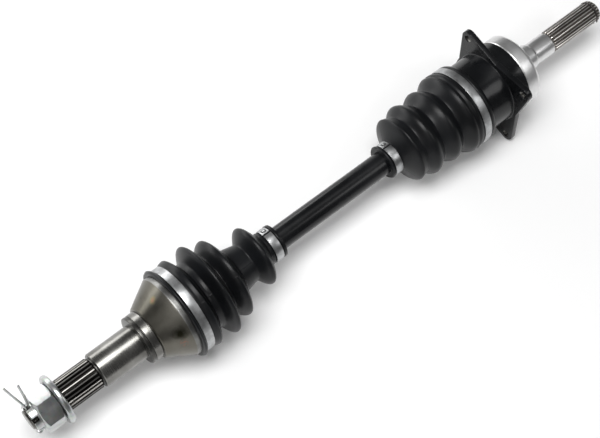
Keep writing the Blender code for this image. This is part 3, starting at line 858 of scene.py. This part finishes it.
def clamp(name, centre, station, radius, body, node, latch):
    """A low profile clamp: the band, its lapped outer layer, and a slotted tongue held by a small hook."""
    half = 3.9
    thick = 0.55
    gap = 1.6
    base = skin("clamp_base", centre, [(station + across, reach) for across, reach in
                                       band_section(radius, thick, half)[:-1]], loop=True)
    outside = radius + thick
    lap = strap("clamp_lap", centre, station, outside, thick, half, latch["clock"], -latch["lap"], thin_end)
    tongue_start = latch["clock"] + gap / radius
    tongue = strap("clamp_tongue", centre, station, outside, thick, half, tongue_start,
                   latch["long"] * 2.4 / radius, None, 40)
    middle = tongue_start + latch["long"] * 0.9 / radius
    cutter = block("clamp_gap", centre, station, latch["clock"] + gap / 2 / radius, outside,
                   (12.0, gap, 2.6))
    parts = []
    for part in (tongue, carve(base, cutter)):
        opening = block("clamp_window", centre, station, middle, outside + 0.6, (4.8, latch["long"], 3.0))
        modify(opening, "BEVEL", width=0.6 * MM, segments=3, limit_method="NONE")
        parts.append(carve(part, settle(opening)))
    hook = strap("clamp_hook", centre, station, outside, 0.45, 1.5, middle - latch["long"] * 0.65 / radius,
                 latch["long"] * 0.8 / radius, hook_rise, 14)
    made = join(name, [lap, hook, *parts])
    wear(made, BAND, body, node)


def thin_end(part):
    """The lap lies close to the band along its last fifth."""
    return 0.02 - 0.5 * max(0.0, (part - 0.8) / 0.2)


def hook_rise(part):
    """The hook's arch, in millimetres above the band."""
    return 0.1 + 0.6 * math.sin(part * math.pi * 0.62)


OUTER_CRESTS = [(-3.0, 41.6), (-2.6, 43.4), (-1.2, 44.3), (0.3, 43.4), (1.0, 41.4), (9.8, 41.4),
                (12.2, 42.9), (15.0, 43.6), (21.5, 33.6), (24.2, 33.2), (26.8, 33.8), (34.9, 44.7),
                (41.8, 31.1), (52.7, 38.8), (61.8, 21.9), (76.4, 18.7), (86.4, 29.3), (95.8, 16.0),
                (98.4, 15.9), (99.0, 15.2), (108.2, 15.2), (108.8, 16.4), (111.4, 16.1)]
OUTER_CUTS = [("bell_seat", None, ["outer_hub"]),
              ("first_fold", 8.0, ["outer_hub", "outer_ball_lower"]),
              ("first_valley", 20.0, ["outer_ball_lower", "outer_cage"]),
              ("second_fold", 38.0, ["outer_cage", "outer_ball_upper"]),
              ("third_fold", 54.0, ["outer_ball_upper", "axle_shaft"]),
              ("neck_and_bar_seat", 66.0, ["axle_shaft"])]
INNER_CRESTS = [(-132.0, 15.9), (-131.0, 16.8), (-129.6, 16.4), (-129.0, 15.2), (-119.8, 15.2),
                (-118.6, 16.6), (-109.3, 32.8), (-101.8, 30.4), (-92.8, 36.4), (-81.5, 30.6),
                (-70.0, 36.8), (-60.6, 32.4), (-49.6, 40.5), (-47.2, 39.5), (-45.2, 40.6),
                (-43.0, 40.4), (-41.8, 39.6),
                (-31.4, 39.6), (-30.8, 40.1), (-28.6, 39.8), (-26.5, 38.5)]
INNER_CUTS = [("bar_seat", None, ["axle_shaft"]),
              ("fourth_fold", -104.0, ["axle_shaft", "inner_ball_upper"]),
              ("third_fold", -88.0, ["inner_ball_upper", "inner_cage"]),
              ("second_fold", -77.0, ["inner_cage", "inner_ball_lower"]),
              ("second_valley", -65.5, ["inner_ball_lower", "inner_boot"]),
              ("first_fold", -56.3, ["inner_boot", "inner_housing"]),
              ("cup_seat", -42.0, ["inner_housing"])]


BELL_FIT = 39.75
CUP_FIT = 35.75
BAR_FIT = 11.55
OUTER_WALL = 2.2
INNER_WALL = 1.2


def outer_bore(station, radius):
    """Inside radius of the outer boot: close on the bell and the bar, and a wall's depth between."""
    if station <= 10.4:
        return BELL_FIT
    return BAR_FIT if station > 97.8 else max(BAR_FIT, radius - OUTER_WALL)


def inner_bore(station, radius):
    """Inside radius of the inner boot: close on the cup and the bar, and a wall's depth between."""
    if station >= -42.2:
        return CUP_FIT
    return BAR_FIT if station < -117.8 else radius - INNER_WALL


# ---------------------------------------------------------------- bar and inner joint

STUB_TEETH = 22
EAR_CIRCLE = 52.5


def bar():
    """The bar, turned down at both ends, with a groove for a circlip in each."""
    far = OUTER - INNER
    outline = soften([
        (14.0, 0.0), (14.0, 8.7), (13.2, 9.5), (12.6, 9.5), (12.6, 8.6), (10.4, 8.6), (10.4, 9.5),
        (-64.0, 9.5, 2.0), (-68.0, 11.2, 2.0), (-118.0, 11.2), (-200.0, 11.2), (far + 120.0, 11.2),
        (far + 34.0, 11.2, 2.0), (far + 30.0, 9.5, 2.0), (far - 9.4, 9.5), (far - 9.4, 8.6),
        (far - 11.6, 8.6), (far - 11.6, 9.5), (far - 12.2, 9.5), (far - 13.0, 8.7), (far - 13.0, 0.0)])
    made = skin("axle_bar_painted", INNER, outline)
    wear(made, PAINT, "axle_shaft", "axle_bar")


def cup_bore(angle):
    """The cup's bore with its straight ball grooves."""
    sixth = math.pi / 3
    off = (angle + sixth / 2) % sixth - sixth / 2
    pitch = 24.0
    groove = 8.0
    side = pitch * math.sin(off)
    if abs(side) >= groove:
        return 27.5
    return max(27.5, pitch * math.cos(off) + math.sqrt(groove ** 2 - side ** 2))


def at_least(radius):
    """The cup's bore, opened out to a radius where its ball grooves don't already go deeper."""
    return lambda angle: max(radius, cup_bore(angle))


def cup_pieces():
    """The painted tube, its machined rear end and the splined stub."""
    tube = [(31.0, 0.0), (31.0, 25.6), (29.0, 27.5), (26.4, 27.5), (26.0, cup_bore), (-29.0, cup_bore),
            (-29.1, at_least(30.0)), (-31.5, at_least(30.0)), (-31.6, at_least(28.1)), (-41.0, 32.6),
            (-41.0, 34.7), (-40.3, 35.4), (-20.0, 35.4), (-2.2, 35.4), (-0.9, 35.7), (-0.35, 36.6),
            (5.25, 36.6), (5.9, 35.9), (7.2, 35.55), (20.6, 35.55), (21.0, 35.2), (21.0, 34.0),
            (33.2, 33.2), (33.2, 0.0)]
    tube = skin("inner_cup_tube", INNER, tube, even_angles(180))
    wear(tube, CUP_PAINT, "inner_housing", "inner_joint_housing")
    rear = soften([
        (33.0, 0.0), (33.0, 32.6), (19.0, 33.0), (20.9, 34.9), (21.5, 34.9, 0.2), (22.0, 35.35, 0.3),
        (33.6, 35.35, 1.6), (36.4, 33.0, 1.6), (37.2, 28.0, 1.0), (37.2, 15.0, 1.0), (38.6, 12.9, 1.0),
        (55.2, 12.4, 0.8), (56.6, 11.15, 0.6), (58.4, 11.15), (58.4, 0.0)])
    rear = skin("inner_cup_machined_end", INNER, rear)
    wear(rear, SATIN, "inner_housing", "inner_joint_housing")
    neck = skin("inner_stub_neck", INNER, soften([
        (57.0, 0.0), (57.0, 11.1), (57.6, 11.1), (61.0, 11.15), (78.4, 11.15, 0.5), (79.6, 10.3, 0.4),
        (79.9, 10.2), (79.9, 0.0)]))
    wear(neck, SATIN, "inner_housing", "inner_joint_housing")
    tooth = teeth(STUB_TEETH, 11.15, 10.0)
    low = teeth(STUB_TEETH, 10.3, 10.0)
    spline = skin("inner_stub_spline", INNER, [
        (79.5, 0.0), (79.5, 10.2), (79.8, low), (81.0, tooth), (98.0, tooth), (116.0, tooth),
        (134.6, tooth), (135.0, low), (135.1, 9.6), (136.9, 9.6), (137.0, low), (137.4, tooth),
        (139.0, tooth), (140.6, teeth(STUB_TEETH, 10.2, 9.6)), (141.9, 8.9), (142.0, 8.6), (142.0, 0.0)],
        even_angles(264), sharp=25.0)
    wear(spline, STUB_SPLINE, "inner_housing", "inner_joint_housing")


def ear_outline(steps):
    """The flange's outline: each ear's round tip, then the soft corner between two straight edges."""
    hub = 38.5
    circle = EAR_CIRCLE
    tip = 7.5
    lean = math.acos((hub - tip) / circle)
    middle = hub / math.cos(lean - math.pi / 4)
    points = []
    for quarter in range(4):
        ear = math.radians(45.0 + 90.0 * quarter)
        centre = Vector((math.sin(ear), math.cos(ear))) * circle
        for step in range(steps + 1):
            angle = ear + lean * (2 * step / steps - 1)
            points.append(centre + Vector((math.sin(angle), math.cos(angle))) * tip)
        between = ear + math.pi / 4
        corner = middle + 0.35
        for off in (-0.05, -0.025, 0.0, 0.025, 0.05):
            reach = corner + 0.9 * abs(off) / 0.05 * 0.55
            points.append(Vector((math.sin(between + off), math.cos(between + off))) * reach)
    return points


def at_ear(name, outline, quarter, loop=False):
    """A shape turned about one ear's own hole."""
    made = skin(name, INNER, outline, even_angles(40), loop)
    made.data.transform(Matrix.Translation(polar(0.0, EAR_CIRCLE, 45.0 + 90.0 * quarter)))
    return made


def flange():
    """The eared plate: its outline with rounded edges, a bore for the tube and four chamfered holes."""
    low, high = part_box("disc_flange")
    edge = 0.45
    rows = []
    for step in range(4):
        turn = math.pi / 2 * step / 3
        rows.append((low.x + edge * MM * (1.0 - math.sin(turn)), edge * (1.0 - math.cos(turn))))
    rows = sorted(rows) + sorted((low.x + high.x - x, inset) for x, inset in rows)
    outline = ear_outline(20)
    count = len(outline)
    shape = bmesh.new()
    rings = []
    for x, inset in rows:
        ring = []
        for spot in range(count):
            along = outline[(spot + 1) % count] - outline[spot - 1]
            outward = Vector((along.y, -along.x)).normalized()
            if outward.dot(outline[spot]) < 0.0:
                outward.negate()
            place = outline[spot] - outward * inset
            ring.append(shape.verts.new((x, place.x * MM, place.y * MM)))
        rings.append(ring)
    for before, after in zip(rings, rings[1:]):
        for spot in range(count):
            beyond = (spot + 1) % count
            shape.faces.new((before[spot], before[beyond], after[beyond], after[spot]))
    shape.faces.new(rings[0])
    shape.faces.new(rings[-1])
    bmesh.ops.recalc_face_normals(shape, faces=shape.faces)
    plate = from_shape("disc_flange_plate", shape)
    middle = (low.x + high.x) / 2 / MM - INNER
    plate = carve(plate, peg("flange_bore", INNER, middle, 0.0, 36.7, 20.0, SEGMENTS, True))
    hole = [(middle - 3.5, 0.0), (middle - 3.5, 4.48), (middle - 2.1, 3.4), (middle + 2.1, 3.4),
            (middle + 3.5, 4.48), (middle + 3.5, 0.0)]
    for quarter in range(4):
        plate = carve(plate, at_ear("ear_hole", hole, quarter))
    smooth(plate, 30.0)
    wear(plate, PAINT, "inner_housing", "disc_flange")
    ear_threads(middle)


def ear_threads(middle):
    """The worn thread that glints in each ear's hole."""
    turns = 4
    pitch = 1.0
    first = middle - turns * pitch / 2
    outline = [(first, 3.45)]
    for turn in range(turns):
        outline += [(first + turn * pitch, 3.3), (first + (turn + 0.5) * pitch, 2.75)]
    outline += [(first + turns * pitch, 3.3), (first + turns * pitch, 3.45)]
    rings = []
    for quarter in range(4):
        rings.append(at_ear("ear_thread", outline, quarter, loop=True))
    wear(join("disc_flange_threads", rings), STEEL, "inner_housing", "disc_flange")


def stub_circlip():
    """A round wire ring sprung into the stub's groove, with a gap and its two ends bent a little out."""
    station = 136.0
    points = []
    gap = math.radians(-112.0)
    turns = 44
    for index in range(turns + 1):
        part = index / turns
        angle = gap + math.radians(14.0) + math.radians(332.0) * part
        reach = 11.0 + 0.75 * max(0.0, (abs(part - 0.5) - 0.44) / 0.06)
        points.append(((INNER + station) * MM, reach * MM * math.sin(angle), reach * MM * math.cos(angle)))
    made = wire("stub_circlip_wire", points, 0.62, resolution=3)
    wear(made, SPRING, "inner_housing", "stub_circlip")


# ---------------------------------------------------------------- hidden pieces

def balls():
    """Polished balls in place of the coarse ones, with the small flats that grinding leaves at two poles."""
    steps = 16
    flat = math.radians(7.0)
    for joint in ("outer", "inner"):
        for number in range(1, 7):
            node = f"{joint}_ball_{number}"
            low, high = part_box(node)
            centre = (low + high) / 2
            radius = (high.x - low.x) / 2 / MM
            rows = []
            for step in range(steps + 1):
                angle = flat + (math.pi - 2 * flat) * step / steps
                rows.append((-radius * math.cos(angle), radius * math.sin(angle)))
            rows = [(rows[0][0], 0.0)] + rows + [(rows[-1][0], 0.0)]
            made = skin(f"{node}_polished", centre.x / MM, rows, even_angles(28))
            made.data.transform(Matrix.Translation((0.0, centre.y, centre.z)))
            body = frame["nodes"][node]["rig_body"]
            wear(made, BEARING, body, node)


def dress_hidden_nodes():
    """Materials for the nodes that stay as they are in the frame."""
    looks = {"outer_joint_race": BEARING, "inner_joint_race": BEARING, "outer_cage": BEARING,
             "inner_cage": BEARING, "outer_race_circlip": SPRING, "inner_race_circlip": SPRING,
             "cup_stop_ring": SPRING}
    for node, look in looks.items():
        made = frame["nodes"][node]
        made.data.materials.clear()
        made.data.materials.append(look)


# ---------------------------------------------------------------- stage

def stage():
    """A pale floor under the axle, soft studio light and the camera."""
    low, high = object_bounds()
    shape = bmesh.new()
    bmesh.ops.create_grid(shape, x_segments=1, y_segments=1, size=20.0)
    floor = from_shape("floor", shape)
    floor.location.z = low[2]
    paper = Look("floor_paper", 0.0, 0.9)
    paper.set("Base Color", paper.mix(paper.noise(3.0), (0.93, 0.93, 0.93), (0.95, 0.95, 0.95)))
    floor.data.materials.append(paper.done())
    floor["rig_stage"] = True

    world = bpy.data.worlds.new("studio")
    world.use_nodes = True
    world.node_tree.nodes["Background"].inputs["Color"].default_value = (1.0, 1.0, 1.0, 1.0)
    world.node_tree.nodes["Background"].inputs["Strength"].default_value = 0.14
    bpy.context.scene.world = world
    lamp("overhead", (-0.5, 0.1, 1.9), 0.8, 1.6, 36.0)
    lamp("strip", (0.5, 0.3, 1.5), 1.1, 0.28, 0.8)
    lamp("side", (-0.2, 0.95, 0.2), 1.3, 0.36, 5.6)
    lamp("end", (0.55, -0.52, 0.8), 0.4, 0.4, 1.4)
    lamp("fill", (-1.3, -0.9, 1.6), 1.6, 1.6, 4.5)
    camera()
    view = bpy.context.scene.view_settings
    view.view_transform = "Standard"
    view.look = "None"


def lamp(name, place, wide, tall, power):
    data = bpy.data.lights.new(name, "AREA")
    data.shape = "RECTANGLE"
    data.size = wide
    data.size_y = tall
    data.energy = power
    made = bpy.data.objects.new(name, data)
    made.location = place
    made.rotation_euler = (-Vector(place)).to_track_quat("-Z", "Y").to_euler()
    bpy.context.scene.collection.objects.link(made)


def camera():
    """Looks down on the axle from the wheel end's side, turned so that it lies across the frame."""
    azimuth = math.radians(-50.45)
    elevation = math.radians(64.89)
    roll = math.radians(11.64)
    distance = 1.3487
    aim = Vector((-0.0335, 0.0028, 0.0004))
    back = Vector((math.sin(azimuth) * math.cos(elevation), -math.cos(azimuth) * math.cos(elevation),
                   math.sin(elevation)))
    level = Vector((math.cos(azimuth), math.sin(azimuth), 0.0))
    upright = back.cross(level)
    right = level * math.cos(roll) + upright * math.sin(roll)
    up = upright * math.cos(roll) - level * math.sin(roll)
    data = bpy.data.cameras.new("camera")
    data.lens = 90.85
    data.sensor_width = 36.0
    data.clip_start = 0.01
    made = bpy.data.objects.new("camera", data)
    turn = Matrix((right, up, back)).transposed().to_4x4()
    made.matrix_world = Matrix.Translation(aim + back * distance) @ turn
    bpy.context.scene.collection.objects.link(made)
    bpy.context.scene.camera = made


bell_pieces()
castle_nut()
washer()
cotter_pin()
boot("outer_boot", OUTER, OUTER_CRESTS, outer_bore, OUTER_CUTS, OUTER_SEAM)
boot("inner_boot", INNER, INNER_CRESTS, inner_bore, INNER_CUTS, INNER_SEAM)
clamp("outer_boot_large_band", OUTER, 5.2, 41.45, "outer_hub", "outer_boot_large_clamp", LARGE_LATCH)
clamp("outer_boot_small_band", OUTER, 103.7, 15.25, "axle_shaft", "outer_boot_small_clamp", SMALL_LATCH)
clamp("inner_boot_small_band", INNER, -124.5, 15.25, "axle_shaft", "inner_boot_small_clamp", SMALL_LATCH)
clamp("inner_boot_large_band", INNER, -36.3, 39.65, "inner_housing", "inner_boot_large_clamp", LARGE_LATCH)
bar()
cup_pieces()
flange()
stub_circlip()
balls()
dress_hidden_nodes()
stage()
